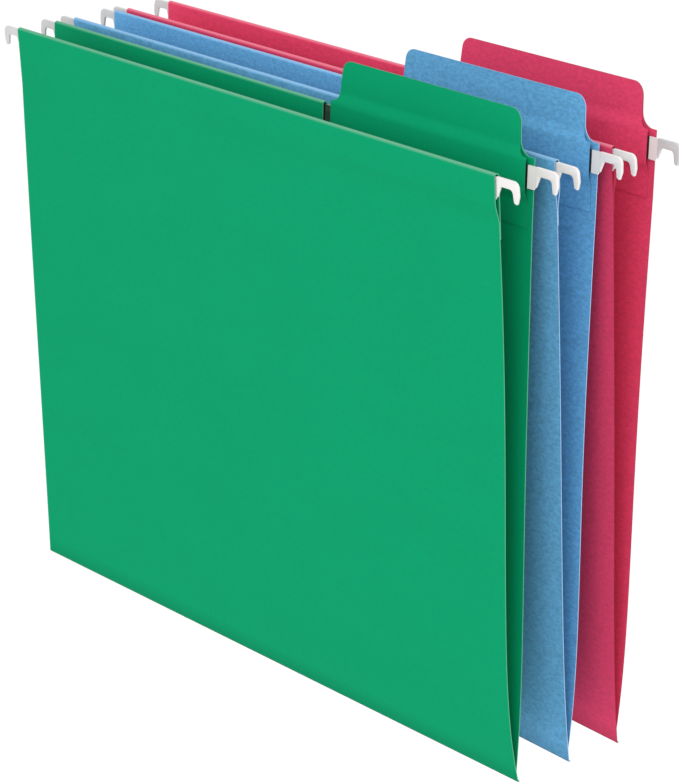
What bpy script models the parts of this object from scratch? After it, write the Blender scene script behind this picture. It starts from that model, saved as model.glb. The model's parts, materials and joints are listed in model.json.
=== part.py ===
"""Three letter-size hanging file folders with built-in tabs, hanging side by side as on a pair of rails.

Each folder is one sheet of heavy paper, creased at the bottom into a front and a rear leaf. The top of
each leaf is hemmed over a flat steel strip, whose two ends are hooks with a smooth coat. The rear leaf
rises into a tab at its right end, and a ply glued inside it stiffens the tab and closes that hem.

+X runs across the folders towards the tabs, +Y to the back, +Z up, in metres. The origin is midway
between the rails, level with the hook seats, on the rear strip of the middle folder.
"""

import math

import bmesh
import bpy
from mathutils import Matrix, Vector

MM = 0.001

# Sheet of paper
SHEET_WIDTH = 298.5 * MM
LEAF_HEIGHT = 235.0 * MM  # top of the hem to the crease
PAPER = 0.3 * MM
CREASE_GAP = 0.3 * MM  # between the two leaves, where the sheet creases
LEAF_ROWS = 8  # flat facets down a leaf, below its hem
LEAF_COLUMNS = 6  # and across it
BELLY_POWER = 4  # the bulge grows as t^4 (1 - t), so it is deepest four fifths of the way down
REAR_SETBACK = 2.0 * MM  # right edge of a rear leaf, inside that of the front leaf

# Hem round the strip
HEM_DEPTH = 24.0 * MM  # top of the hem to the lower edge of its flap
HEM_STEPS = 8
HEM_PLAY = 0.55 * MM  # between steel and paper, on each side and above the coat
STEP_HEIGHT = 3.0 * MM  # where a flap steps in from the strip to the sheet it is glued to
GLUE_GAP = 0.3 * MM

# Hanger strip; heights and outlines are measured over the coat
STEEL_THICKNESS = 0.6 * MM
COAT_WALL = 0.15 * MM
COAT_GAP = 0.1 * MM
COAT_START = 0.3 * MM  # outside the edge of the sheet
STRIP_HEIGHT = 8.8 * MM

# Hook, measured outwards from the edge of the sheet and down from the top of the strip
HOOK_REACH = 11.5 * MM
SEAT_DEPTH = 3.3 * MM
SEAT_START = 2.2 * MM
SEAT_END = 8.3 * MM
FINGER_INNER = 9.0 * MM
FINGER_OUTER = 10.5 * MM
FINGER_RISE = 0.4 * MM  # its tip, above the lower edge of the strip
FINGER_SLANT = 0.8 * MM  # how much higher its inner corner is
NECK_SETBACK = 0.6 * MM  # how far inside the edge of the sheet the notch begins
CROWN_SETBACK = 0.3 * MM  # the outer corner above, inside the elbow below it
ELBOW_DROP = 5.3 * MM
CROWN_RADIUS = 2.4 * MM
ELBOW_RADIUS = 2.0 * MM
TIP_RADIUS = 0.6 * MM
FINGER_RADIUS = 0.5 * MM
SEAT_END_RADIUS = 1.6 * MM
SEAT_START_RADIUS = 1.0 * MM
ARC_STEPS = 4

# Tab, measured from the right edge of the sheet and up from the top of the hem
TAB_SLOT_LEFT = 117.6 * MM
TAB_SLOT_RIGHT = 113.0 * MM
TAB_LEFT = 108.4 * MM
TAB_RIGHT = 10.4 * MM
TAB_HEIGHT = 17.0 * MM
TAB_LEAN = 1.3 * MM  # how much narrower each side is at the top
LEFT_CORNER = 4.2 * MM
RIGHT_CORNER = 5.2 * MM
SHOULDER_HEIGHT = 1.4 * MM
LEFT_FILLET = 2.6 * MM
RIGHT_FILLET = 5.6 * MM
SLOT_RADIUS = 0.5 * MM
NUB_RADIUS = 0.3 * MM

# Ply inside the tab
PLY_INSET = 2.6 * MM  # from the right edge of the rear leaf
PLY_RAMP = 9.0 * MM  # where it slants from the front of the strip to the sheet it is glued to

# Folders, front to back
FOLDERS = (
    {
        "name": "green",
        "shade": (0.001, 0.350, 0.145),
        "spread": 17.9 * MM,  # between its two strips
        "bulges": (3.2 * MM, 1.5 * MM),  # of the front and of the rear leaf, at their right edge
        "swings": (-6.3 * MM, 3.1 * MM),  # of the left and right ends of the crease, to the back
    },
    {
        "name": "blue",
        "shade": (0.105, 0.295, 0.520),
        "spread": 20.3 * MM,
        "bulges": (1.3 * MM, 2.4 * MM),
        "swings": (0.0, -0.4 * MM),
    },
    {
        "name": "red",
        "shade": (0.610, 0.045, 0.100),
        "spread": 21.3 * MM,
        "bulges": (1.2 * MM, 2.0 * MM),
        "swings": (0.0, -3.2 * MM),
    },
)
GREEN_TO_BLUE = 9.9 * MM  # rear strip of one folder to the front strip of the next
BLUE_TO_RED = 6.7 * MM

# What follows from them
CHANNEL = STEEL_THICKNESS + 2 * HEM_PLAY
COAT_INSET = COAT_WALL + COAT_GAP
HEM_TOP = STRIP_HEIGHT / 2 + HEM_PLAY + PAPER  # above the middle of the strip
CREASE_DROP = LEAF_HEIGHT - HEM_TOP  # below the middle of the strip
SEAT_HEIGHT = STRIP_HEIGHT / 2 - SEAT_DEPTH  # above the middle of the strip
POCKET_END = STRIP_HEIGHT / 2 + HEM_PLAY  # below the middle of the strip
SHEET_EDGE = SHEET_WIDTH / 2
REAR_EDGE = SHEET_EDGE - REAR_SETBACK
HEM_END = HEM_TOP - HEM_DEPTH
SHARP = math.radians(35)  # edges that turn more than this are shaded sharp
LEVEL = 0.001 * MM  # heights closer than this are the same


def clear_scene():
    for obj in list(bpy.data.objects):
        bpy.data.objects.remove(obj, do_unlink=True)


def make_material(name, colour, roughness, metallic=0.0):
    material = bpy.data.materials.new(name)
    material.use_nodes = True
    shader = material.node_tree.nodes["Principled BSDF"]
    shader.inputs["Base Color"].default_value = (*colour, 1.0)
    shader.inputs["Roughness"].default_value = roughness
    shader.inputs["Metallic"].default_value = metallic
    return material


def rounded(corners):
    """The outline through corners (x, z, radius), each turned by an arc of its radius."""
    outline = []
    for index, (x, z, radius) in enumerate(corners):
        corner = Vector((x, z))
        if radius == 0:
            outline.append(corner)
            continue
        before = (Vector(corners[index - 1][:2]) - corner).normalized()
        after = (Vector(corners[(index + 1) % len(corners)][:2]) - corner).normalized()
        half_angle = before.angle(after) / 2
        centre = corner + (before + after).normalized() * radius / math.sin(half_angle)
        start = corner + before * radius / math.tan(half_angle) - centre
        sweep = start.angle_signed(corner + after * radius / math.tan(half_angle) - centre)
        for step in range(ARC_STEPS + 1):
            turn = Matrix.Rotation(-sweep * step / ARC_STEPS, 2)
            outline.append(centre + turn @ start)
    return outline


def inset(outline, depth):
    """An open outline moved to the right of its own direction by depth, with mitred corners."""
    normals = []
    for first, second in zip(outline, outline[1:]):
        run = (second - first).normalized()
        normals.append(Vector((run.y, -run.x)))
    moved = []
    for point, before, after in zip(outline, normals[:1] + normals, normals + normals[-1:]):
        moved.append(point + (before + after) * depth / (1 + before.dot(after)))
    return moved


def hook_outline(depth):
    """The right-hand hook, moved in by depth: from the top of the strip, out, round and back below it.

    Both ends lie well inside the hem. Heights are from the middle of the strip.
    """
    top = STRIP_HEIGHT / 2
    inboard = -HEM_DEPTH
    outline = rounded(
        (
            (inboard, top, 0),
            (HOOK_REACH - CROWN_SETBACK, top, CROWN_RADIUS),
            (HOOK_REACH, top - ELBOW_DROP, ELBOW_RADIUS),
            (FINGER_OUTER, -top + FINGER_RISE, TIP_RADIUS),
            (FINGER_INNER, -top + FINGER_RISE + FINGER_SLANT, FINGER_RADIUS),
            (SEAT_END, top - SEAT_DEPTH, SEAT_END_RADIUS),
            (SEAT_START, top - SEAT_DEPTH, SEAT_START_RADIUS),
            (-NECK_SETBACK, -top, 0),
            (inboard, -top, 0),
        )
    )
    edge = Vector((SHEET_EDGE, 0))
    return [point + edge for point in inset(outline, depth)]


def clipped(outline, x, side):
    """The part of a closed outline beyond x, if side is 1, or short of it, if side is -1."""
    kept = []
    for first, second in zip(outline, outline[1:] + outline[:1]):
        if (first.x < x) != (second.x < x):
            kept.append(first.lerp(second, (x - first.x) / (second.x - first.x)))
        if side * (second.x - x) > 0:
            kept.append(second)
    return kept


def new_object(name, shape, material, pivot):
    """An object from a bmesh, or sharing a mesh, that hangs from a pivot empty."""
    if isinstance(shape, bmesh.types.BMesh):
        mesh = bpy.data.meshes.new(name)
        bmesh.ops.recalc_face_normals(shape, faces=shape.faces)
        shape.to_mesh(mesh)
        shape.free()
        mesh.shade_smooth()
        mesh.set_sharp_from_angle(angle=SHARP)
        mesh.materials.append(material)
    else:
        mesh = shape
    obj = bpy.data.objects.new(name, mesh)
    bpy.context.collection.objects.link(obj)
    obj.parent = pivot
    return obj


def new_pivot(name, y, tilt):
    """An empty at the middle of a strip, turned so that the leaf under it hangs towards its crease."""
    pivot = bpy.data.objects.new(name, None)
    bpy.context.collection.objects.link(pivot)
    pivot.location = (0, y, -SEAT_HEIGHT)
    pivot.rotation_euler = (tilt, 0, 0)
    return pivot


def plate(outline, y, thickness, rows=(), columns=()):
    """A flat plate with an outline in X and Z, from y to y + thickness.

    It is scored across at the rows, and down below the highest of them at the columns.
    """
    shape = bmesh.new()
    shape.faces.new([shape.verts.new((point.x, y, point.y)) for point in outline])
    for height in rows:
        score(shape, shape.faces[:], (0, 0, height), (0, 0, 1))
    for x in columns:
        below = [face for face in shape.faces if face.calc_center_median().z < max(rows)]
        score(shape, below, (x, 0, 0), (1, 0, 0))
    grown = bmesh.ops.extrude_face_region(shape, geom=shape.faces[:])["geom"]
    moved = [item for item in grown if isinstance(item, bmesh.types.BMVert)]
    bmesh.ops.translate(shape, verts=moved, vec=(0, thickness, 0))
    return shape


def score(shape, faces, point, normal):
    """Cuts faces of a flat shape in two along a line."""
    edges = {edge for face in faces for edge in face.edges}
    verts = {vert for face in faces for vert in face.verts}
    geometry = faces + sorted(edges, key=index_of) + sorted(verts, key=index_of)
    bmesh.ops.bisect_plane(shape, geom=geometry, plane_co=point, plane_no=normal)


def index_of(item):
    return item.index


def extend(shape, face, move):
    """Extrudes a face by a matrix, and returns the face at the new end."""
    grown = bmesh.ops.extrude_face_region(shape, geom=[face])["geom"]
    bmesh.ops.delete(shape, geom=[face], context="FACES_ONLY")
    moved = [item for item in grown if isinstance(item, bmesh.types.BMVert)]
    bmesh.ops.transform(shape, matrix=move, verts=moved)
    return next(item for item in grown if isinstance(item, bmesh.types.BMFace))


def way_down(height):
    """0 at the lower edge of the hem and above it, 1 at the crease."""
    return max(0.0, (HEM_END - height) / (HEM_END + CREASE_DROP))


def belly(place, depth):
    """How far a leaf bulges outwards at a place, for its bulge at the right edge: it fades to the left."""
    peak = BELLY_POWER / (BELLY_POWER + 1)
    greatest = peak**BELLY_POWER * (1 - peak)
    down = way_down(place.z)
    share = (1 + place.x / SHEET_EDGE) / 2
    return depth * share * down**BELLY_POWER * (1 - down) / greatest


def swing(place, swings):
    """How far a leaf hangs to the back at a place, for the swings of the two ends of its crease."""
    left, right = swings
    share = (1 + place.x / SHEET_EDGE) / 2
    return (left + (right - left) * share) * way_down(place.z)


def tab_corners(bottom):
    """Corners of the tab, clockwise from its lower left, down to the right edge of the rear leaf."""
    slot = SHEET_EDGE - TAB_SLOT_RIGHT
    left = SHEET_EDGE - TAB_LEFT
    side = SHEET_EDGE - TAB_RIGHT
    shoulder = HEM_TOP + SHOULDER_HEIGHT
    top = HEM_TOP + TAB_HEIGHT
    return (
        (slot, bottom, 0),
        (slot, shoulder, SLOT_RADIUS),
        (left - TAB_LEAN, shoulder, LEFT_FILLET),
        (left, top, LEFT_CORNER),
        (side, top, RIGHT_CORNER),
        (side + TAB_LEAN, shoulder, RIGHT_FILLET),
        (REAR_EDGE, shoulder, NUB_RADIUS),
        (REAR_EDGE, bottom, 0),
    )


def leaf(side, tilt, bulge, swings):
    """One leaf and its hem: the front leaf if side is -1, and the rear leaf with its tab if side is 1.

    The hem is one path of a fold over the strip, a drop past it and a step in to the sheet. Where a leaf
    has a tab, the hem ends short of it and the sheet runs on up instead.
    """
    crease = -CREASE_DROP
    hem_centre = HEM_TOP - CHANNEL / 2 - PAPER
    corners = [(-SHEET_EDGE, crease, 0), (-SHEET_EDGE, hem_centre, 0)]
    if side > 0:
        corners.append((SHEET_EDGE - TAB_SLOT_LEFT, hem_centre, 0))
        corners += tab_corners(hem_centre)[:-1]
        corners.append((REAR_EDGE, crease, 0))
    else:
        corners += [(SHEET_EDGE, hem_centre, 0), (SHEET_EDGE, crease, 0)]

    rows = [crease + (HEM_END - crease) * n / LEAF_ROWS for n in range(1, LEAF_ROWS + 1)]
    columns = [SHEET_EDGE * (2 * n / LEAF_COLUMNS - 1) for n in range(1, LEAF_COLUMNS)]
    shape = plate(rounded(corners), side * CHANNEL / 2, side * PAPER, rows, columns)
    to_leaf = Matrix.Rotation(side * tilt, 3, "X")
    for vert in shape.verts:
        back = Vector((0, swing(vert.co, swings), 0))
        out = Vector((0, side * belly(vert.co, bulge), 0))
        vert.co += to_leaf @ back + out

    level = []
    for face in shape.faces:
        if all(abs(vert.co.z - hem_centre) < LEVEL for vert in face.verts):
            level.append(face)
    fold = min(level, key=lambda face: face.calc_center_median().x)
    centre = Matrix.Translation((0, 0, hem_centre))
    turn = centre @ Matrix.Rotation(side * math.pi / HEM_STEPS, 4, "X") @ centre.inverted()
    glued_length = -POCKET_END - STEP_HEIGHT - HEM_END
    path = [turn] * HEM_STEPS + [
        Matrix.Translation((0, 0, -POCKET_END - hem_centre)),
        Matrix.Translation((0, side * (CHANNEL - GLUE_GAP), -STEP_HEIGHT)),
        Matrix.Translation((0, 0, -glued_length)),
    ]
    for move in path:
        fold = extend(shape, fold, move)
    return shape


def tab_ply():
    """The ply inside a tab: glued to the rear leaf above and below the strip, and bulged round it."""
    glued = CHANNEL / 2 - GLUE_GAP - PAPER
    bulged = -CHANNEL / 2 - PAPER
    ramp_end = POCKET_END + PLY_RAMP
    outline = rounded(tab_corners(HEM_END))
    rows = (-ramp_end, -POCKET_END, POCKET_END, ramp_end)
    shape = plate(clipped(outline, REAR_EDGE - PLY_INSET, -1), glued, PAPER, rows)
    for vert in shape.verts:
        share = (ramp_end - abs(vert.co.z)) / PLY_RAMP
        vert.co.y += (bulged - glued) * min(max(share, 0.0), 1.0)
    return shape


def hanger_strip():
    """The bare steel strip with a hook at each end."""
    right = hook_outline(COAT_INSET)[1:-1]
    left = [Vector((-point.x, point.y)) for point in reversed(right)]
    return plate(right + left, -STEEL_THICKNESS / 2, STEEL_THICKNESS)


def hook_coat():
    """The coat of a right-hand hook: a thin shell round the steel, open where it meets the hem."""
    start = SHEET_EDGE + COAT_START
    steel = STEEL_THICKNESS / 2
    shape = bmesh.new()
    skins = []
    for depth, half in ((0, steel + COAT_INSET), (COAT_WALL, steel + COAT_GAP)):
        outline = clipped(hook_outline(depth), start, 1)
        rings = [[shape.verts.new((p.x, y, p.y)) for p in outline] for y in (-half, half)]
        for ring in rings:
            shape.faces.new(ring)
        for n in range(len(outline) - 1):
            shape.faces.new((rings[0][n], rings[0][n + 1], rings[1][n + 1], rings[1][n]))
        skins.append((rings[0][0], rings[1][0], rings[1][-1], rings[0][-1]))
    outer, inner = skins
    for n in range(4):
        shape.faces.new((outer[n - 1], outer[n], inner[n], inner[n - 1]))
    return shape


def main():
    clear_scene()
    steel = make_material("steel", (0.42, 0.42, 0.43), 0.35, 1.0)
    coat = make_material("hook_coat", (0.80, 0.80, 0.78), 0.4)

    strip_mesh = None
    coat_mesh = None
    front = -FOLDERS[1]["spread"] - GREEN_TO_BLUE - FOLDERS[0]["spread"]
    for folder, gap in zip(FOLDERS, (GREEN_TO_BLUE, BLUE_TO_RED, 0)):
        colour = folder["name"]
        paper = make_material(colour + "_paper", folder["shade"], 0.75)
        rear = front + folder["spread"]
        reach = (folder["spread"] - CREASE_GAP) / 2
        arm = math.hypot(CREASE_DROP, CHANNEL / 2)
        tilt = math.asin(reach / arm) + math.atan2(CHANNEL / 2, CREASE_DROP)
        for end, side, y, bulge in zip(("front", "rear"), (-1, 1), (front, rear), folder["bulges"]):
            name = f"{colour}_{end}"
            pivot = new_pivot(name + "_pivot", y, -side * tilt)
            new_object(name + "_leaf", leaf(side, tilt, bulge, folder["swings"]), paper, pivot)
            strip_mesh = new_object(name + "_rod", strip_mesh or hanger_strip(), steel, pivot).data
            right = new_object(name + "_right_hook_coat", coat_mesh or hook_coat(), coat, pivot)
            coat_mesh = right.data
            left = new_object(name + "_left_hook_coat", coat_mesh, coat, pivot)
            left.rotation_euler = (0, 0, math.pi)
        new_object(colour + "_tab_ply", tab_ply(), paper, pivot)
        front = rear + gap


main()
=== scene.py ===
"""Three hanging file folders with built-in tabs: their finished paper, coated hooks, floor and light.

Each piece is modelled upright in the frame of its own hanger strip, with the middle of the strip at the
origin and +X towards the tabs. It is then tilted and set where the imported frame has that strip.
"""

import json
import math

import bmesh
import bpy
from bpy.props import FloatProperty, FloatVectorProperty, IntProperty, PointerProperty
from mathutils import Euler, Matrix, Vector


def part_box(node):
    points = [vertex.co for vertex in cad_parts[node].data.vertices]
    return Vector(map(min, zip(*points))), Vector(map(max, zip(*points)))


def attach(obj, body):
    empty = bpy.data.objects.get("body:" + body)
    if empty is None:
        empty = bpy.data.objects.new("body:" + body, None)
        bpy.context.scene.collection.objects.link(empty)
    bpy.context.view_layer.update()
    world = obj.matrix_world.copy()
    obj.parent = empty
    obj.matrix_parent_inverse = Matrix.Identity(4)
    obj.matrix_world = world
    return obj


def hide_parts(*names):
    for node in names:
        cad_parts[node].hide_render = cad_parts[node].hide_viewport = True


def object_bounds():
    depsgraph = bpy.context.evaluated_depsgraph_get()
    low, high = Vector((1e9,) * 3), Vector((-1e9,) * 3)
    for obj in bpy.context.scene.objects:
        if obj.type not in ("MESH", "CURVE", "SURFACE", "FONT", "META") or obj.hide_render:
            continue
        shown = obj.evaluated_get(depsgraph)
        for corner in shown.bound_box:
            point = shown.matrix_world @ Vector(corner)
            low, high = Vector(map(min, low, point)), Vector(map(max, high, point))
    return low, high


bl_info = {
    "name": "Hanging File Folders",
    "version": (1, 0, 0),
    "blender": (4, 5, 0),
    "location": "3D View > Sidebar > Folders",
    "description": "Builds three hanging file folders with built-in tabs round their packed frame",
    "category": "Object",
}

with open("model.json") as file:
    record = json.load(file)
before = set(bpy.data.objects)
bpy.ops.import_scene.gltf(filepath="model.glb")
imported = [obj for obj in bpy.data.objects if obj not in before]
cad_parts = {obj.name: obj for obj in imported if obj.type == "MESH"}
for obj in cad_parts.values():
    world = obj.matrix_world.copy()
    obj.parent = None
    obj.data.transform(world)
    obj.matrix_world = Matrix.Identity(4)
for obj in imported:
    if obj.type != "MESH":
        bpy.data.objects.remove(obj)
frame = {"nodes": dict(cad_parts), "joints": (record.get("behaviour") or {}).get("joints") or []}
CAD_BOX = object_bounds()

MM = 0.001
COLOURS = ("green", "blue", "red")
ENDS = {"front": -1, "rear": 1}
NEAR = 0.01 * MM  # places closer than this are the same
X = Vector((1, 0, 0))

CORNER_STEPS = 8  # faces round a rounded corner of an outline
STEP_ROWS = 8  # rows of faces where a sheet, flap or lining steps or slants in
TAB_ROWS = 6  # rows of faces in a tab
GLUED_PITCH = 1.05  # thicknesses of paper between the middles of two glued plies
PAPER_SHARP = math.radians(40)  # edges of the paper that turn more than this are shaded sharp
COAT_SHARP = math.radians(50)  # and those of a hook

LEAF_LOW, LEAF_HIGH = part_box("green_front_leaf")
SHEET_WIDTH = LEAF_HIGH.x - LEAF_LOW.x
SHEET_EDGE = SHEET_WIDTH / 2


# ---------------------------------------------------------------------------------------------------
# Sizes and colours
# ---------------------------------------------------------------------------------------------------


def length(name, text, default):
    return FloatProperty(name=name, description=text, default=default, unit="LENGTH", precision=5)


def colour(name, text, default):
    return FloatVectorProperty(name=name, description=text, default=default, subtype="COLOR", size=3)


class PaperSizes(bpy.types.PropertyGroup):
    paper: length("Paper", "Thickness of the paper", 0.3 * MM)
    leaf_height: length("Leaf height", "Top of the hem to the crease", 235.0 * MM)
    crease_gap: length("Crease gap", "Between the two leaves at the crease", 0.3 * MM)
    strip_height: length("Strip height", "Height of the hanger strip in the hem", 8.8 * MM)
    hem_play: length("Hem play", "Between the strip and the paper round it", 0.55 * MM)
    steel: length("Steel", "Thickness of the hanger strip", 0.6 * MM)
    hem_depth: length("Hem depth", "Top of the hem to the lower edge of its flap", 24.0 * MM)
    step_height: length("Step", "Where a flap steps in to the sheet it is glued to", 3.0 * MM)
    slant_height: length("Slant", "Where the sheet of a front leaf slants in under its strip", 9.0 * MM)
    rear_setback: length("Rear setback", "Right edge of a rear leaf, inside that of the front one", 2.0 * MM)
    wave: length("Wave", "How far a leaf waves out of its plane", 0.3 * MM)
    wave_length: length("Wave length", "Distance between two crests along a leaf", 190.0 * MM)
    rows: IntProperty(name="Rows", description="Rows of faces below the hem", default=30)
    columns: IntProperty(name="Columns", description="Columns of faces across a leaf", default=24)
    fold_steps: IntProperty(name="Fold steps", description="Faces round a fold", default=12)


class TabSizes(bpy.types.PropertyGroup):
    slot_left: length("Slot left", "Right edge of the sheet to the end of the hem", 117.6 * MM)
    slot_right: length("Slot right", "Right edge of the sheet to the lining of the tab", 113.0 * MM)
    left: length("Tab left", "Right edge of the sheet to the left side of the tab", 108.4 * MM)
    right: length("Tab right", "Right edge of the sheet to the right side of the tab", 10.4 * MM)
    height: length("Tab height", "Top of the hem to the top of the tab", 17.0 * MM)
    lean: length("Tab lean", "How much each side narrows towards the top", 1.3 * MM)
    left_corner: length("Left corner", "Radius of the upper left corner", 4.2 * MM)
    right_corner: length("Right corner", "Radius of the upper right corner", 5.2 * MM)
    shoulder: length("Shoulder", "Top of the hem to the shoulders of the tab", 1.4 * MM)
    slot_corner: length("Slot corner", "Radius of the shoulder at the slot", 0.5 * MM)
    left_fillet: length("Left fillet", "Radius at the foot of the left side", 2.6 * MM)
    right_fillet: length("Right fillet", "Radius at the foot of the right side", 5.6 * MM)
    lining_inset: length("Lining inset", "Right edge of the rear leaf to that of the lining", 2.6 * MM)
    lining_ramp: length("Lining ramp", "Where the lining slants from the strip to the leaf", 5.5 * MM)
    curl: length("Curl", "How far the top of a tab curls back", 0.7 * MM)


class HookSizes(bpy.types.PropertyGroup):
    reach: length("Reach", "Edge of the sheet to the outside of the hook", 11.5 * MM)
    seat_depth: length("Seat depth", "Top of the strip down to the seat", 3.3 * MM)
    seat_start: length("Seat start", "Edge of the sheet to the start of the seat", 2.2 * MM)
    seat_end: length("Seat end", "Edge of the sheet to the end of the seat", 8.3 * MM)
    finger_inner: length("Finger inner", "Edge of the sheet to the inner corner of the finger", 9.0 * MM)
    finger_outer: length("Finger outer", "Edge of the sheet to the outer corner of the finger", 10.5 * MM)
    finger_rise: length("Finger rise", "Lower edge of the strip up to the tip of the finger", 0.4 * MM)
    finger_slant: length("Finger slant", "How much higher the inner corner of the finger is", 0.8 * MM)
    crown_setback: length("Crown setback", "Outside of the hook to its outer upper corner", 0.3 * MM)
    crown: length("Crown", "Radius of the outer upper corner", 2.4 * MM)
    elbow_drop: length("Elbow drop", "Top of the strip down to the elbow", 5.28 * MM)
    elbow: length("Elbow", "Radius of the elbow", 2.0 * MM)
    tip: length("Tip", "Radius of the outer corner of the finger", 0.6 * MM)
    finger: length("Finger", "Radius of the inner corner of the finger", 0.5 * MM)
    seat_end_corner: length("Seat end corner", "Radius at the end of the seat", 1.6 * MM)
    seat_start_corner: length("Seat start corner", "Radius at the start of the seat", 1.0 * MM)
    neck_rise: length("Neck rise", "Lower edge of the strip up to the foot of the notch", 1.1 * MM)
    coat: length("Coat", "Thickness of the coat on the steel", 0.25 * MM)
    start: length("Coat start", "Edge of the sheet to the start of the coat", 0.25 * MM)
    edge: length("Edge", "Radius of the coat along the edges of the hook", 0.3 * MM)


class FolderColours(bpy.types.PropertyGroup):
    green: colour("Green", "Green paper", (0.0008, 0.268, 0.116))
    blue: colour("Blue", "Blue paper", (0.115, 0.335, 0.580))
    red: colour("Red", "Red paper", (0.640, 0.052, 0.125))
    # Cut edges: paler on green and blue, partly the undyed core and partly a painted edge highlight; darker
    # on red, a painted edge shade.
    green_cut: colour("Green cut edge", "Cut edges of the green paper", (0.09, 0.38, 0.21))
    blue_cut: colour("Blue cut edge", "Cut edges of the blue paper", (0.32, 0.47, 0.68))
    red_cut: colour("Red cut edge", "Cut edges of the red paper", (0.33, 0.012, 0.04))
    coat: colour("Hook coat", "Coat of the hooks on the right", (0.68, 0.655, 0.65))
    # The same coat as on the right hooks, painted darker as shade, for the hooks on the left and the red
    # rear right hook.
    shaded_coat: colour("Dull coat", "Coat of the hooks on the left", (0.50, 0.50, 0.50))
    # The bare steel is a darker grey than rolled steel, painted shade for the strip seen in the dark slot of
    # the hem.
    steel: colour("Steel", "Bare hanger strips", (0.24, 0.24, 0.25))


class StageSizes(bpy.types.PropertyGroup):
    floor_drop: length("Floor drop", "Folders to the floor under them", 1.1)
    floor_size: length("Floor size", "Width of the floor", 40.0)
    floor_colour: colour("Floor colour", "Colour of the floor", (0.96, 0.96, 0.96))
    azimuth: FloatProperty(
        name="Azimuth", description="Direction of the view", default=math.radians(51.72), subtype="ANGLE"
    )
    elevation: FloatProperty(
        name="Elevation", description="Height of the view", default=math.radians(19.70), subtype="ANGLE"
    )
    roll: FloatProperty(
        name="Roll", description="Turn of the view", default=math.radians(-0.79), subtype="ANGLE"
    )
    stand: FloatVectorProperty(
        name="Camera", description="Place of the camera", default=(0.8982, -0.7090, 0.2832), unit="LENGTH"
    )
    lens: FloatProperty(name="Lens", description="Focal length in millimetres", default=139.37)
    sky: FloatProperty(name="Sky", description="Brightness of the white surroundings", default=1.05)
    key: FloatProperty(name="Key", description="Power of the main light", default=25.0, unit="POWER")
    key_size: length("Key size", "Width of the main light", 1.6)
    key_place: FloatVectorProperty(
        name="Key place", description="Place of the main light", default=(1.35, -1.35, 1.1), unit="LENGTH"
    )


# ---------------------------------------------------------------------------------------------------
# Places in the frame
# ---------------------------------------------------------------------------------------------------


def strip_point(shade, end):
    """The middle of a strip, which is the hinge of its leaf."""
    for joint in frame["joints"]:
        if joint["child"] == f"{shade}_{end}_leaf":
            return Vector(joint["pos_m"])
    raise RuntimeError(f"the frame has no hinge for the {shade} {end} leaf")


def sheet_offset(sizes):
    """From the middle of the strip to the middle of the paper beside it."""
    return sizes.steel / 2 + sizes.hem_play + sizes.paper / 2


def glued_offset(sizes):
    """From the middle of the strip to the middle of a ply that is glued inside that paper."""
    return sheet_offset(sizes) - GLUED_PITCH * sizes.paper


def pocket_end(sizes):
    """From the middle of the strip to the upper or lower end of the room it has in the hem."""
    return sizes.strip_height / 2 + sizes.hem_play


def hem_top(sizes):
    return pocket_end(sizes) + sizes.paper


def hem_centre(sizes):
    """The height that the paper turns round at the top of the hem."""
    return hem_top(sizes) - sizes.paper / 2 - sheet_offset(sizes)


def hem_end(sizes):
    """The height of the lower edge of the flap."""
    return hem_top(sizes) - sizes.hem_depth


def crease_drop(sizes):
    return sizes.leaf_height - hem_top(sizes)


def strip_tilt(sizes, shade):
    """The tilt that brings the two leaves of a folder together at their crease."""
    spread = strip_point(shade, "rear").y - strip_point(shade, "front").y
    reach = (spread - sizes.crease_gap) / 2
    inner = sizes.steel / 2 + sizes.hem_play
    arm = math.hypot(crease_drop(sizes), inner)
    return math.asin(reach / arm) + math.atan2(inner, crease_drop(sizes))


def strip_place(sizes, shade, end):
    tilt = Matrix.Rotation(-ENDS[end] * strip_tilt(sizes, shade), 4, "X")
    return Matrix.Translation(strip_point(shade, end)) @ tilt


# ---------------------------------------------------------------------------------------------------
# Modelling by hand
# ---------------------------------------------------------------------------------------------------


def drawn_blank(name, corners, y):
    """A flat blank that faces along Y.

    Its outline, a list of (x, z, radius), is drawn corner by corner, filled and rounded.
    """
    bpy.ops.object.select_all(action="DESELECT")
    bpy.ops.mesh.primitive_plane_add(size=MM, location=(0, 0, 0))
    obj = bpy.context.object
    obj.name = name
    obj.data.name = name
    bpy.ops.object.mode_set(mode="EDIT")
    bpy.ops.mesh.select_mode(type="VERT")
    bpy.ops.mesh.merge(type="CENTER")
    bpy.ops.transform.translate(value=(corners[0][0], y, corners[0][1]))
    for (x, z, _), (next_x, next_z, _) in zip(corners, corners[1:]):
        step = (next_x - x, 0, next_z - z)
        bpy.ops.mesh.extrude_vertices_move(TRANSFORM_OT_translate={"value": step})
    bpy.ops.mesh.select_all(action="SELECT")
    bpy.ops.mesh.edge_face_add()
    for index, (x, z, radius) in enumerate(corners):
        if radius:
            here = Vector((x, z))
            before = Vector(corners[index - 1][:2]) - here
            after = Vector(corners[(index + 1) % len(corners)][:2]) - here
            pick(obj, "VERT", lambda point: math.hypot(point.x - x, point.z - z) < NEAR)
            run = radius / math.tan(before.angle(after) / 2)
            bpy.ops.mesh.bevel(offset=run, segments=CORNER_STEPS, affect="VERTICES", clamp_overlap=True)
    return obj


def pick(obj, kind, wanted):
    """Selects only the vertices, edges or faces whose corners all pass a test."""
    bpy.ops.mesh.select_all(action="DESELECT")
    bpy.ops.mesh.select_mode(type=kind)
    shape = bmesh.from_edit_mesh(obj.data)
    items = {"VERT": shape.verts, "EDGE": shape.edges, "FACE": shape.faces}[kind]
    found = 0
    for item in items:
        corners = [item] if kind == "VERT" else item.verts
        if all(wanted(corner.co) for corner in corners):
            item.select_set(True)
            found += 1
    shape.select_flush_mode()
    bmesh.update_edit_mesh(obj.data)
    if not found:
        raise RuntimeError(f"{obj.name} has nothing to pick here")


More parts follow.
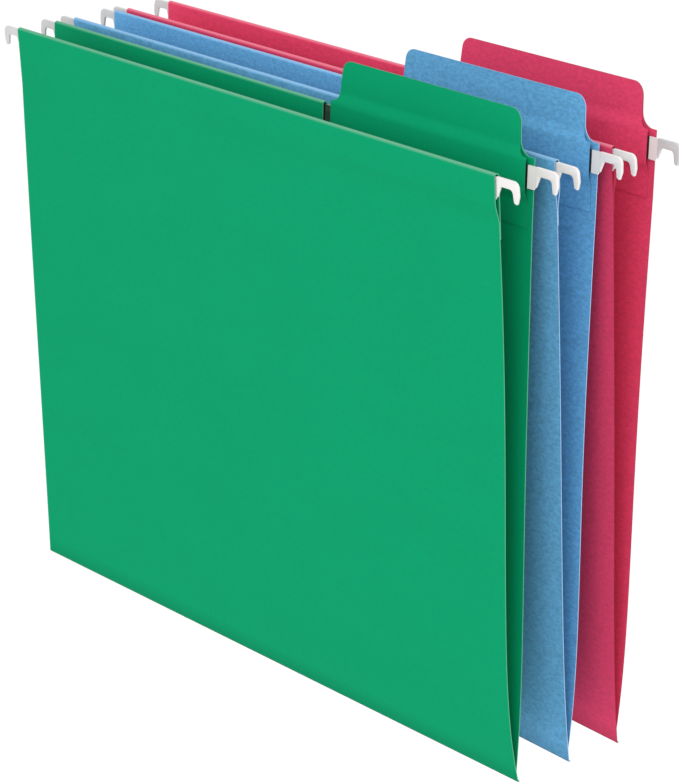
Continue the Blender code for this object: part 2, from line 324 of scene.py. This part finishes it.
def score(places, axis):
    """Cuts the whole blank into rows or columns at these places along an axis."""
    normal = [0.0, 0.0, 0.0]
    normal["XYZ".index(axis)] = 1.0
    for place in places:
        bpy.ops.mesh.select_all(action="SELECT")
        point = [place * part for part in normal]
        bpy.ops.mesh.bisect(plane_co=point, plane_no=normal)


def score_columns(sizes):
    score([SHEET_WIDTH * (n / sizes.columns - 0.5) for n in range(1, sizes.columns)], "X")


def pull(step):
    """Extrudes the picked edges by a step."""
    bpy.ops.mesh.extrude_edges_move(TRANSFORM_OT_translate={"value": step})


def ease(share):
    """Runs from 0 to 1 with a level start and end."""
    share = min(max(share, 0.0), 1.0)
    return share * share * (3 - 2 * share)


def shaped(obj, move):
    """Moves every vertex by what a function of its place gives."""
    shape = bmesh.from_edit_mesh(obj.data)
    for vert in shape.verts:
        vert.co += move(vert.co)
    bmesh.update_edit_mesh(obj.data)


def apply_modifier(obj, kind, **settings):
    modifier = obj.modifiers.new(kind.title(), kind)
    for key, value in settings.items():
        setattr(modifier, key, value)
    bpy.ops.object.modifier_apply(modifier=modifier.name)


def close_normals(inside=False):
    bpy.ops.mesh.select_all(action="SELECT")
    bpy.ops.mesh.normals_make_consistent(inside=inside)


def thicken_paper(obj, sizes, materials):
    """Gives the sheet its thickness, with the rim in the material of the cut edge."""
    close_normals()
    bpy.ops.object.mode_set(mode="OBJECT")
    for material in materials:
        obj.data.materials.append(material)
    apply_modifier(
        obj, "SOLIDIFY", thickness=sizes.paper, offset=0.0, use_even_offset=True, material_offset_rim=1
    )
    bpy.ops.object.shade_smooth_by_angle(angle=PAPER_SHARP)


def mark(obj, name, amount):
    """Stores a mask on the vertices, from a function of their place."""
    mask = obj.data.attributes.new(name=name, type="FLOAT", domain="POINT")
    for vert in obj.data.vertices:
        mask.data[vert.index].value = amount(vert.co)


def hang(obj, place):
    """Sets a finished piece in place, and leaves its object at the origin."""
    bpy.ops.object.select_all(action="DESELECT")
    obj.select_set(True)
    bpy.context.view_layer.objects.active = obj
    obj.matrix_world = place
    bpy.ops.object.transform_apply(location=True, rotation=True, scale=True)


# ---------------------------------------------------------------------------------------------------
# Materials
# ---------------------------------------------------------------------------------------------------


def new_group(name, inputs, outputs):
    """A shader node group with float inputs {name: default} and float outputs, or the one already made."""
    found = bpy.data.node_groups.get(name)
    if found:
        return found, None
    group = bpy.data.node_groups.new(name, "ShaderNodeTree")
    for socket, default in inputs.items():
        made = group.interface.new_socket(socket, in_out="INPUT", socket_type="NodeSocketFloat")
        made.default_value = default
    for socket in outputs:
        group.interface.new_socket(socket, in_out="OUTPUT", socket_type="NodeSocketFloat")
    return group, NodeDesk(group)


class NodeDesk:
    """Adds and links nodes in one tree."""

    def __init__(self, tree):
        self.tree = tree

    def add(self, kind, **settings):
        node = self.tree.nodes.new(kind)
        for key, value in settings.items():
            setattr(node, key, value)
        return node

    def set(self, socket, value):
        if isinstance(value, bpy.types.NodeSocket):
            self.tree.links.new(value, socket)
        else:
            socket.default_value = value

    def maths(self, operation, first, second=0.0):
        node = self.add("ShaderNodeMath", operation=operation)
        self.set(node.inputs[0], first)
        self.set(node.inputs[1], second)
        return node.outputs[0]

    def remap(self, value, low, high, new_low=0.0, new_high=1.0):
        node = self.add("ShaderNodeMapRange")
        for socket, amount in zip(node.inputs, (value, low, high, new_low, new_high)):
            self.set(socket, amount)
        return node.outputs[0]

    def mix(self, share, first, second, blend="MIX"):
        node = self.add("ShaderNodeMix", data_type="RGBA", blend_type=blend)
        self.set(node.inputs["Factor"], share)
        self.set(node.inputs[6], first)
        self.set(node.inputs[7], second)
        return node.outputs[2]

    def noise(self, vector, scale, detail, roughness=0.5, distortion=0.0):
        node = self.add("ShaderNodeTexNoise")
        for name, value in zip(
            ("Vector", "Scale", "Detail", "Roughness", "Distortion"),
            (vector, scale, detail, roughness, distortion),
        ):
            self.set(node.inputs[name], value)
        return node.outputs["Fac"]

    def stretched(self, scale):
        """Object coordinates, scaled differently along each axis."""
        places = self.add("ShaderNodeTexCoord")
        mapping = self.add("ShaderNodeMapping")
        self.set(mapping.inputs["Vector"], places.outputs["Object"])
        mapping.inputs["Scale"].default_value = scale
        return mapping.outputs["Vector"]

    def bump(self, height, strength, distance):
        node = self.add("ShaderNodeBump")
        node.inputs["Strength"].default_value = strength
        node.inputs["Distance"].default_value = distance
        self.set(node.inputs["Height"], height)
        return node.outputs["Normal"]


GRAIN = {"green": 0.5, "blue": 2.4, "red": 1.4}  # how strongly the pulp of each paper is mottled
CLOUD = 0.35  # and how cloudy all three are
WORN_AND_LIT_GREY = 0.75  # what the paper fades to at the top of the hem: fold wear and a painted highlight
WORN_AND_LIT_SHARE = 0.16  # and how far it has faded
PAINTED_CREASE_TONE = 0.30  # how dark the painted shade makes the paper in the crease
LINING_EDGE_PAINTED_SHADE = 0.6  # how dark the cut edge of a lining is painted, as shade along the ply's outline

# Where the dipped coat of a strip begins and where it is full, inside the edge of the sheet
DIP_START = 4.2 * MM
DIP_END = 4.0 * MM


def paper_fibres():
    """Pulp mottle, short fibres and broad cloudiness of heavy dyed paper."""
    group, desk = new_group("Paper Fibres", {"Grain": 1.0, "Cloud": 1.0}, ("Tone", "Height"))
    if desk is None:
        return group
    given = desk.add("NodeGroupInput")
    result = desk.add("NodeGroupOutput")
    along = desk.stretched((0.55, 1.0, 1.0))
    across = desk.stretched((1.0, 1.0, 0.6))
    pulp = desk.noise(along, scale=950.0, detail=3.0, roughness=0.6, distortion=0.4)
    fibres = desk.noise(across, scale=2300.0, detail=2.0, roughness=0.55, distortion=1.2)
    cloud = desk.noise(along, scale=45.0, detail=2.0)
    grain = desk.maths("MULTIPLY", desk.maths("SUBTRACT", pulp, 0.5), given.outputs["Grain"])
    broad = desk.maths("MULTIPLY", desk.maths("SUBTRACT", cloud, 0.5), given.outputs["Cloud"])
    tone = desk.maths("ADD", desk.maths("ADD", grain, desk.maths("MULTIPLY", broad, 0.5)), 0.5)
    desk.set(result.inputs["Tone"], tone)
    height = desk.maths("ADD", desk.maths("MULTIPLY", pulp, 0.6), desk.maths("MULTIPLY", fibres, 0.4))
    desk.set(result.inputs["Height"], height)
    return group


def toned(shade, factor):
    """A colour made paler or darker, with its alpha."""
    return (*[min(part * factor, 1.0) for part in shade], 1.0)


def start_material(name, roughness):
    """A new material with a Principled BSDF, and a desk for its nodes."""
    material = bpy.data.materials.new(name)
    material.use_nodes = True
    shader = material.node_tree.nodes["Principled BSDF"]
    shader.inputs["Roughness"].default_value = roughness
    return material, shader, NodeDesk(material.node_tree)


def paper_material(name, shade, grain):
    """Dyed paper: mottled, a little paler at the top of the hem from fold wear and a painted highlight, and
    darkened in and beside the crease with painted shade.
    """
    found = bpy.data.materials.get(name)
    if found:
        return found
    material, shader, desk = start_material(name, 0.8)
    shader.inputs["Specular IOR Level"].default_value = 0.05
    fibres = desk.add("ShaderNodeGroup", node_tree=paper_fibres())
    fibres.inputs["Grain"].default_value = grain
    fibres.inputs["Cloud"].default_value = CLOUD
    tone = desk.mix(fibres.outputs["Tone"], toned(shade, 0.80), toned(shade, 1.20))
    # Paler top of the hem: partly fold wear, partly a painted highlight where light falls on the fold.
    fold = desk.add("ShaderNodeAttribute", attribute_name="fold_wear")
    worn_and_lit = [part + (WORN_AND_LIT_GREY - part) * WORN_AND_LIT_SHARE for part in shade]
    paler = desk.mix(fold.outputs["Fac"], tone, (*worn_and_lit, 1.0))
    # Painted shade in and beside the crease at the bottom of the folder.
    crease_shade_mask = desk.add("ShaderNodeAttribute", attribute_name="pressed")
    darker = desk.mix(crease_shade_mask.outputs["Fac"], paler, toned(shade, PAINTED_CREASE_TONE))
    desk.set(shader.inputs["Base Color"], darker)
    rough = desk.remap(fibres.outputs["Tone"], low=0.2, high=0.8, new_low=0.72, new_high=0.88)
    desk.set(shader.inputs["Roughness"], rough)
    grain_bump = desk.bump(fibres.outputs["Height"], strength=0.35, distance=0.06 * MM)
    desk.set(shader.inputs["Normal"], grain_bump)
    return material


def cut_material(name, shade):
    """The cut edge of the paper, where broken fibres show. Its colour is paler on green and blue, partly the
    undyed core and partly a painted highlight on the edge, and darker on red, a painted shade on the edge.
    """
    found = bpy.data.materials.get(name)
    if found:
        return found
    material, shader, desk = start_material(name, 0.9)
    fibres = desk.add("ShaderNodeGroup", node_tree=paper_fibres())
    tone = desk.mix(fibres.outputs["Tone"], toned(shade, 0.88), toned(shade, 1.12))
    desk.set(shader.inputs["Base Color"], tone)
    broken = desk.bump(fibres.outputs["Height"], strength=0.4, distance=0.05 * MM)
    desk.set(shader.inputs["Normal"], broken)
    return material


def coat_material(name, shade):
    """Smooth dipped coat with a faint unevenness."""
    found = bpy.data.materials.get(name)
    if found:
        return found
    material, shader, desk = start_material(name, 0.4)
    flow = desk.noise(desk.stretched((1.0, 1.0, 1.0)), scale=420.0, detail=2.0)
    speck = desk.noise(desk.stretched((1.0, 1.0, 1.0)), scale=1900.0, detail=1.0)
    desk.set(shader.inputs["Base Color"], desk.mix(flow, toned(shade, 0.95), toned(shade, 1.04)))
    rough = desk.remap(speck, low=0.3, high=0.7, new_low=0.34, new_high=0.46)
    desk.set(shader.inputs["Roughness"], rough)
    desk.set(shader.inputs["Normal"], desk.bump(flow, strength=0.2, distance=0.08 * MM))
    return material


def strip_material(shades):
    """Rolled steel with its grain along the strip, dipped in the coat at both ends."""
    material, shader, desk = start_material("rolled_strip_steel", 0.38)
    rolled = desk.noise(desk.stretched((14.0, 900.0, 2600.0)), scale=1.0, detail=3.0)
    # The dark steel colour is painted shade.
    steel = desk.mix(rolled, toned(shades.steel, 0.75), toned(shades.steel, 1.2))
    places = desk.add("ShaderNodeTexCoord")
    split = desk.add("ShaderNodeSeparateXYZ")
    desk.set(split.inputs[0], places.outputs["Object"])
    out = desk.maths("ABSOLUTE", split.outputs["X"])
    dipped = desk.remap(out, SHEET_EDGE - DIP_START, SHEET_EDGE - DIP_END)
    desk.set(shader.inputs["Base Color"], desk.mix(dipped, steel, toned(shades.coat, 1.0)))
    desk.set(shader.inputs["Metallic"], desk.maths("SUBTRACT", 1.0, dipped))
    rough = desk.remap(rolled, low=0.3, high=0.7, new_low=0.3, new_high=0.48)
    desk.set(shader.inputs["Roughness"], rough)
    desk.set(shader.inputs["Normal"], desk.bump(rolled, strength=0.15, distance=0.03 * MM))
    return material


def papers(shade):
    """The materials of one folder: its sheet and its cut edges."""
    colours = bpy.context.scene.folder_colours
    sheet = paper_material(shade + "_dyed_paper", getattr(colours, shade), GRAIN[shade])
    # The cut edge colour holds a painted edge highlight on green and blue and a painted edge shade on red.
    cut = cut_material(shade + "_cut_edge", getattr(colours, shade + "_cut"))
    return sheet, cut


def lining_papers(shade):
    """The materials of a tab lining, whose cut edges are darkened with painted shade along the outline of
    the ply.
    """
    sheet, _ = papers(shade)
    dye = getattr(bpy.context.scene.folder_colours, shade)
    # Painted shade on the cut edge of the lining.
    return sheet, cut_material(shade + "_lining_edge", toned(dye, LINING_EDGE_PAINTED_SHADE)[:3])


# ---------------------------------------------------------------------------------------------------
# Leaves, tab linings and creases
# ---------------------------------------------------------------------------------------------------

# Bulge of the front and of the rear leaf at the right edge, which fades to the left
BULGES = {"green": (3.2 * MM, 1.5 * MM), "blue": (1.3 * MM, 2.4 * MM), "red": (1.2 * MM, 2.0 * MM)}
BELLY_POWER = 4  # the bulge grows as t^4 (1 - t), so it is deepest four fifths of the way down

# Where the wave of the front and of the rear leaf starts, in waves, and how far it leans on its way down
WAVE_STARTS = {"green": (0.10, 0.62), "blue": (0.35, 0.85), "red": (0.55, 0.05)}
WAVE_LEAN = 0.25

# How far a front sheet slants in under its strip, of the way to its flap, and where that has faded out
SLANTS = {"green": 1.0, "blue": 0.35, "red": 0.1}
SLANT_FADE = 0.6

# How far the left and the right end of each crease hang to the back
SWINGS = {"green": (-6.3 * MM, 3.1 * MM), "blue": (0.0, -0.4 * MM), "red": (0.0, -3.2 * MM)}

FILLET_ROOM = 0.85  # share of the room right of a tab that its fillet may take

# How strong the painted shade is beside the crease, how far up it reaches, and how strong it is in the fold
# itself
CREASE_SHADE_BESIDE = 0.35
CREASE_SHADE_HEIGHT = 0.8 * MM
CREASE_SHADE_IN_FOLD = 0.9


def tab_outline(sizes, tab, bottom, right):
    """Corners (x, z, radius) of the tab, from its lower left, over the top and down to the right edge."""
    slot = SHEET_EDGE - tab.slot_right
    left = SHEET_EDGE - tab.left
    side = SHEET_EDGE - tab.right
    shoulder = hem_top(sizes) + tab.shoulder
    top = hem_top(sizes) + tab.height
    return [
        (slot, bottom, 0),
        (slot, shoulder, tab.slot_corner),
        (left - tab.lean, shoulder, tab.left_fillet),
        (left, top, tab.left_corner),
        (side, top, tab.right_corner),
        (side + tab.lean, shoulder, min(tab.right_fillet, FILLET_ROOM * (right - side - tab.lean))),
        (right, shoulder, 0),
        (right, bottom, 0),
    ]


def way_down(sizes, z):
    """0 at the lower edge of the hem and above it, 1 at the crease."""
    return max(0.0, (hem_end(sizes) - z) / (hem_end(sizes) + crease_drop(sizes)))


def way_right(point):
    """0 at the left edge of a sheet, 1 at its right edge."""
    return (1 + point.x / SHEET_EDGE) / 2


def swing(sizes, shade, point):
    """How far the sheet hangs to the back at a place."""
    left, right = SWINGS[shade]
    return (left + (right - left) * way_right(point)) * way_down(sizes, point.z)


def slant(sizes, point):
    """0 where the strip ends, 1 where a sheet or flap has finished its slant below it."""
    return ease((-pocket_end(sizes) - point.z) / sizes.slant_height)


def leaf_shape(sizes, shade, end):
    """How a flat leaf is moved at a place: its swing to the back, its belly, its wave and its slant."""
    side = ENDS[end]
    which = 0 if end == "front" else 1
    depth = BULGES[shade][which]
    start = WAVE_STARTS[shade][which]
    peak = BELLY_POWER / (BELLY_POWER + 1)
    greatest = peak**BELLY_POWER * (1 - peak)
    to_leaf = Matrix.Rotation(side * strip_tilt(sizes, shade), 3, "X")
    way_in = sheet_offset(sizes) + glued_offset(sizes)
    step_in = SLANTS[shade] * way_in if end == "front" else 0.0

    def move(point):
        down = way_down(sizes, point.z)
        share = way_right(point)
        belly = depth * share * down**BELLY_POWER * (1 - down) / greatest
        turn = 2 * math.pi * (point.x / sizes.wave_length + start + WAVE_LEAN * down)
        wave = sizes.wave * math.sin(turn) * 4 * down * (1 - down)
        step = step_in * share * slant(sizes, point) * ease(1 - down / SLANT_FADE)
        back = to_leaf @ Vector((0, swing(sizes, shade, point), 0))
        return back + Vector((0, side * (belly + wave - step), 0))

    return move


def tab_curl(sizes, tab):
    """How the tab leans back above its hem."""

    def curl(point):
        up = max(0.0, (point.z - hem_top(sizes)) / tab.height)
        return Vector((0, tab.curl * up * up, 0))

    return curl


def score_sheet(sizes, tab, has_tab):
    """Rows down the leaf, columns across it, and a few rows in the tab or where the sheet slants in."""
    drop = crease_drop(sizes) + hem_end(sizes)
    score([hem_end(sizes) - drop * n / sizes.rows for n in range(sizes.rows)], "Z")
    score_columns(sizes)
    if has_tab:
        score([hem_top(sizes) + tab.height * n / TAB_ROWS for n in range(TAB_ROWS)], "Z")
    else:
        run = sizes.slant_height / STEP_ROWS
        score([-pocket_end(sizes) - run * n for n in range(STEP_ROWS + 1)], "Z")


def fold_hem(obj, sizes, shade, side, right_end):
    """Turns the top edge over the strip and past it, and on a rear leaf in to the sheet it is glued to."""
    centre = hem_centre(sizes)
    pick(obj, "EDGE", lambda point: abs(point.z - centre) < NEAR and point.x < right_end + NEAR)
    bpy.ops.mesh.spin(
        steps=sizes.fold_steps, angle=-side * math.pi, center=(0, 0, centre), axis=(1, 0, 0)
    )
    flap = -side * sheet_offset(sizes)
    glued = side * glued_offset(sizes)
    pick(obj, "EDGE", lambda point: abs(point.z - centre) < NEAR and abs(point.y - flap) < NEAR)
    pull((0, 0, -pocket_end(sizes) - centre))
    height = sizes.step_height if side > 0 else sizes.slant_height
    for n in range(STEP_ROWS):
        rise = ease((n + 1) / STEP_ROWS) - ease(n / STEP_ROWS)
        across = (glued - flap) * rise if side > 0 else 0.0
        pull((0, across, -height / STEP_ROWS))
    pull((0, 0, hem_end(sizes) + pocket_end(sizes) + height))
    if side < 0:
        shaped(obj, front_flap(sizes, shade, flap, glued))


def front_flap(sizes, shade, flap, glued):
    """How the flap of a front leaf follows its sheet, which slants in at the right but not at the left."""

    def move(point):
        if point.y < flap - NEAR:
            return Vector()
        share = 1 - SLANTS[shade] * way_right(point)
        return Vector((0, (glued - flap) * share * slant(sizes, point), 0))

    return move


def fold_masks(obj, sizes, hem_end_x):
    """Marks the top of the hem, paler from fold wear and a painted highlight, and the painted shade next to
    the crease.
    """
    top = hem_top(sizes)
    bottom = -crease_drop(sizes)
    fold = sheet_offset(sizes)

    # Fold wear and painted highlight along the top of the hem.
    def worn_and_lit(point):
        if point.x > hem_end_x + sizes.paper:
            return 0.0
        return ease((point.z - top + fold) / fold)

    mark(obj, "fold_wear", worn_and_lit)
    # Painted shade on the paper next to the crease.
    mark(obj, "pressed", lambda point: CREASE_SHADE_BESIDE * ease(1 - (point.z - bottom) / CREASE_SHADE_HEIGHT))


def make_leaf(shade, end):
    """One side of a folder, hemmed over its strip; a rear leaf rises into its tab."""
    sizes = bpy.context.scene.folder_paper
    tab = bpy.context.scene.folder_tab
    side = ENDS[end]
    has_tab = end == "rear"
    centre = hem_centre(sizes)
    crease = -crease_drop(sizes)
    corners = [(-SHEET_EDGE, crease, 0), (-SHEET_EDGE, centre, 0)]
    hem_end_x = SHEET_EDGE
    if has_tab:
        hem_end_x = SHEET_EDGE - tab.slot_left
        right = SHEET_EDGE - sizes.rear_setback
        corners.append((hem_end_x, centre, 0))
        corners += tab_outline(sizes, tab, centre, right)[:-1]
        corners.append((right, crease, 0))
    else:
        corners += [(SHEET_EDGE, centre, 0), (SHEET_EDGE, crease, 0)]

    leaf = drawn_blank(f"{shade}_{end}_sheet", corners, side * sheet_offset(sizes))
    score_sheet(sizes, tab, has_tab)
    shaped(leaf, leaf_shape(sizes, shade, end))
    if has_tab:
        shaped(leaf, tab_curl(sizes, tab))
    fold_hem(leaf, sizes, shade, side, hem_end_x)
    thicken_paper(leaf, sizes, papers(shade))
    fold_masks(leaf, sizes, hem_end_x)
    hang(leaf, strip_place(sizes, shade, end))
    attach(leaf, f"{shade}_{end}_leaf")
    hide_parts(f"{shade}_{end}_leaf")


def make_lining(shade):
    """The ply inside a tab: glued to the leaf above and below the strip, and bulged round it."""
    sizes = bpy.context.scene.folder_paper
    tab = bpy.context.scene.folder_tab
    glued = glued_offset(sizes)
    pocket = pocket_end(sizes)
    right = SHEET_EDGE - sizes.rear_setback - tab.lining_inset
    corners = tab_outline(sizes, tab, hem_end(sizes), right)
    lining = drawn_blank(shade + "_tab_lining", corners, glued)
    ramp = [pocket + tab.lining_ramp * n / STEP_ROWS for n in range(STEP_ROWS + 1)]
    score(ramp + [-z for z in ramp], "Z")
    score([hem_top(sizes) + tab.height * n / TAB_ROWS for n in range(1, TAB_ROWS)], "Z")
    score_columns(sizes)
    reach = glued + sheet_offset(sizes)

    def bulge(point):
        share = ease((pocket + tab.lining_ramp - abs(point.z)) / tab.lining_ramp)
        return Vector((0, -reach * share, 0))

    shaped(lining, bulge)
    shaped(lining, tab_curl(sizes, tab))
    thicken_paper(lining, sizes, lining_papers(shade))
    hang(lining, strip_place(sizes, shade, "rear"))
    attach(lining, shade + "_rear_leaf")
    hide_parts(shade + "_tab_ply")


def make_crease(shade):
    """The folded bottom of a sheet, which joins the lower edges of its two leaves."""
    sizes = bpy.context.scene.folder_paper
    offset = sheet_offset(sizes)
    low = -crease_drop(sizes)
    front = strip_place(sizes, shade, "front") @ Vector((0, -offset, low))
    rear = strip_place(sizes, shade, "rear") @ Vector((0, offset, low))
    middle = (front + rear) / 2

    bpy.ops.object.select_all(action="DESELECT")
    bpy.ops.mesh.primitive_plane_add(size=SHEET_WIDTH, location=(0, 0, 0))
    crease = bpy.context.object
    crease.name = shade + "_crease_fold"
    crease.data.name = crease.name
    bpy.ops.object.mode_set(mode="EDIT")
    pick(crease, "VERT", lambda point: point.y > 0)
    bpy.ops.mesh.delete(type="VERT")
    bpy.ops.mesh.select_all(action="SELECT")
    bpy.ops.transform.translate(value=(0, SHEET_WIDTH / 2 + front.y, front.z))
    bpy.ops.mesh.subdivide(number_cuts=sizes.columns)
    tilt = strip_tilt(sizes, shade)
    bpy.ops.mesh.select_all(action="SELECT")
    bpy.ops.transform.rotate(
        value=-tilt, orient_axis="X", orient_type="GLOBAL", center_override=tuple(middle)
    )
    bpy.ops.mesh.select_all(action="SELECT")
    bpy.ops.mesh.spin(
        steps=sizes.fold_steps, angle=2 * tilt - math.pi, center=tuple(middle), axis=(1, 0, 0)
    )
    lowest = Vector((0, 0, low))
    shaped(crease, lambda point: Vector((0, swing(sizes, shade, lowest + point.x * X), 0)))
    thicken_paper(crease, sizes, papers(shade))
    # The fold at the bottom is darkened all over with painted shade.
    mark(crease, "pressed", lambda point: CREASE_SHADE_IN_FOLD)
    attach(crease, shade + "_rear_leaf")


# ---------------------------------------------------------------------------------------------------
# Hooks and strips
# ---------------------------------------------------------------------------------------------------


def make_hook(shade, end, hand):
    """The coated hook at one end of a strip."""
    sizes = bpy.context.scene.folder_paper
    hook = bpy.context.scene.folder_hook
    colours = bpy.context.scene.folder_colours
    top = sizes.strip_height / 2
    seat = top - hook.seat_depth
    tip = -top + hook.finger_rise
    corners = [
        (hook.start, top, 0),
        (hook.reach - hook.crown_setback, top, hook.crown),
        (hook.reach, top - hook.elbow_drop, hook.elbow),
        (hook.finger_outer, tip, hook.tip),
        (hook.finger_inner, tip + hook.finger_slant, hook.finger),
        (hook.seat_end, seat, hook.seat_end_corner),
        (hook.seat_start, seat, hook.seat_start_corner),
        (hook.start, -top + hook.neck_rise, 0),
    ]
    outline = [(SHEET_EDGE + x, z, radius) for x, z, radius in corners]
    thick = sizes.steel + 2 * hook.coat
    piece = drawn_blank(f"{shade}_{end}_{hand}_hook", outline, 0)
    close_normals()
    bpy.ops.object.mode_set(mode="OBJECT")
    apply_modifier(piece, "SOLIDIFY", thickness=thick, offset=0.0)
    apply_modifier(
        piece, "BEVEL", width=hook.edge, segments=3, limit_method="ANGLE", angle_limit=COAT_SHARP
    )
    bpy.ops.object.shade_smooth_by_angle(angle=COAT_SHARP)
    if hand == "left":
        hang(piece, Matrix.Rotation(math.pi, 4, "Z"))
    # The hooks on the left and the red rear right hook get the coat painted darker as shade.
    in_shade = hand == "left" or (shade, end) == ("red", "rear")
    finish = ("dull_dipped_coat", colours.shaded_coat) if in_shade else ("white_dipped_coat", colours.coat)
    piece.data.materials.append(coat_material(*finish))
    hang(piece, strip_place(sizes, shade, end))
    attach(piece, f"{shade}_{end}_hanger")
    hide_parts(f"{shade}_{end}_{hand}_hook_coat")


def finish_strips():
    """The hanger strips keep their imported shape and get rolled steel."""
    material = strip_material(bpy.context.scene.folder_colours)
    for shade in COLOURS:
        for end in ENDS:
            strip = frame["nodes"][f"{shade}_{end}_rod"]
            strip.data.materials.clear()
            strip.data.materials.append(material)


# ---------------------------------------------------------------------------------------------------
# Floor, light and camera
# ---------------------------------------------------------------------------------------------------


def make_floor(stage):
    bpy.ops.object.select_all(action="DESELECT")
    low = CAD_BOX[0].z - stage.floor_drop
    bpy.ops.mesh.primitive_plane_add(size=stage.floor_size, location=(0, 0, low))
    floor = bpy.context.object
    floor.name = "studio_floor"
    material, shader, _ = start_material("studio_floor", 0.9)
    shader.inputs["Base Color"].default_value = toned(stage.floor_colour, 1.0)
    floor.data.materials.append(material)


def make_light(stage):
    world = bpy.data.worlds.new("studio")
    world.use_nodes = True
    background = world.node_tree.nodes["Background"]
    background.inputs["Color"].default_value = (1.0, 1.0, 1.0, 1.0)
    background.inputs["Strength"].default_value = stage.sky
    bpy.context.scene.world = world
    lamp = bpy.data.lights.new("key_light", "AREA")
    lamp.shape = "DISK"
    lamp.size = stage.key_size
    lamp.energy = stage.key
    key = bpy.data.objects.new("key_light", lamp)
    bpy.context.collection.objects.link(key)
    key.location = stage.key_place
    key.rotation_euler = (-key.location).to_track_quat("-Z", "Y").to_euler()


def make_camera(stage):
    view = bpy.data.cameras.new("camera")
    view.lens = stage.lens
    view.sensor_width = 36.0
    view.clip_start = 0.05
    view.clip_end = 100.0
    camera = bpy.data.objects.new("camera", view)
    bpy.context.collection.objects.link(camera)
    turn = Euler((math.pi / 2 - stage.elevation, 0, stage.azimuth)).to_matrix()
    camera.rotation_euler = (turn @ Matrix.Rotation(stage.roll, 3, "Z")).to_euler()
    camera.location = stage.stand
    bpy.context.scene.camera = camera


# ---------------------------------------------------------------------------------------------------
# Operators, panel and registration
# ---------------------------------------------------------------------------------------------------


class FOLDERS_OT_stage(bpy.types.Operator):
    """Add the floor, the studio light and the camera"""

    bl_idname = "folders.stage"
    bl_label = "Stage"

    def execute(self, context):
        stage = context.scene.folder_stage
        make_floor(stage)
        make_light(stage)
        make_camera(stage)
        context.scene.view_settings.view_transform = "Standard"
        return {"FINISHED"}


class FOLDERS_OT_front_leaves(bpy.types.Operator):
    """Add the front leaf of each folder, hemmed over its strip"""

    bl_idname = "folders.front_leaves"
    bl_label = "Front Leaves"

    def execute(self, context):
        for shade in COLOURS:
            make_leaf(shade, "front")
        return {"FINISHED"}


class FOLDERS_OT_rear_leaves(bpy.types.Operator):
    """Add the rear leaf of each folder, which rises into its tab"""

    bl_idname = "folders.rear_leaves"
    bl_label = "Rear Leaves"

    def execute(self, context):
        for shade in COLOURS:
            make_leaf(shade, "rear")
        return {"FINISHED"}


class FOLDERS_OT_tab_linings(bpy.types.Operator):
    """Add the stiffening ply inside each tab"""

    bl_idname = "folders.tab_linings"
    bl_label = "Tab Linings"

    def execute(self, context):
        for shade in COLOURS:
            make_lining(shade)
        return {"FINISHED"}


class FOLDERS_OT_creases(bpy.types.Operator):
    """Add the folded bottom of each folder"""

    bl_idname = "folders.creases"
    bl_label = "Creases"

    def execute(self, context):
        for shade in COLOURS:
            make_crease(shade)
        return {"FINISHED"}


class FOLDERS_OT_hooks(bpy.types.Operator):
    """Add the coated hook at each end of each strip"""

    bl_idname = "folders.hooks"
    bl_label = "Hooks"

    def execute(self, context):
        for shade in COLOURS:
            for end in ENDS:
                for hand in ("left", "right"):
                    make_hook(shade, end, hand)
        return {"FINISHED"}


class FOLDERS_OT_strips(bpy.types.Operator):
    """Give the hanger strips their rolled steel"""

    bl_idname = "folders.strips"
    bl_label = "Strips"

    def execute(self, context):
        finish_strips()
        return {"FINISHED"}


OPERATORS = (
    FOLDERS_OT_front_leaves,
    FOLDERS_OT_rear_leaves,
    FOLDERS_OT_tab_linings,
    FOLDERS_OT_creases,
    FOLDERS_OT_hooks,
    FOLDERS_OT_strips,
    FOLDERS_OT_stage,
)


class FOLDERS_PT_panel(bpy.types.Panel):
    """Lists what the add-on builds"""

    bl_idname = "FOLDERS_PT_panel"
    bl_label = "Hanging File Folders"
    bl_space_type = "VIEW_3D"
    bl_region_type = "UI"
    bl_category = "Folders"

    def draw(self, context):
        for operator in OPERATORS:
            self.layout.operator(operator.bl_idname)


GROUPS = {
    "folder_paper": PaperSizes,
    "folder_tab": TabSizes,
    "folder_hook": HookSizes,
    "folder_colours": FolderColours,
    "folder_stage": StageSizes,
}


def register():
    for name, group in GROUPS.items():
        bpy.utils.register_class(group)
        setattr(bpy.types.Scene, name, PointerProperty(type=group))
    for operator in OPERATORS:
        bpy.utils.register_class(operator)
    bpy.utils.register_class(FOLDERS_PT_panel)


def unregister():
    bpy.utils.unregister_class(FOLDERS_PT_panel)
    for operator in reversed(OPERATORS):
        bpy.utils.unregister_class(operator)
    for name, group in GROUPS.items():
        delattr(bpy.types.Scene, name)
        bpy.utils.unregister_class(group)


def main():
    register()
    for operator in OPERATORS:
        family, name = operator.bl_idname.split(".")
        getattr(getattr(bpy.ops, family), name)()


if __name__ == "__main__":
    main()
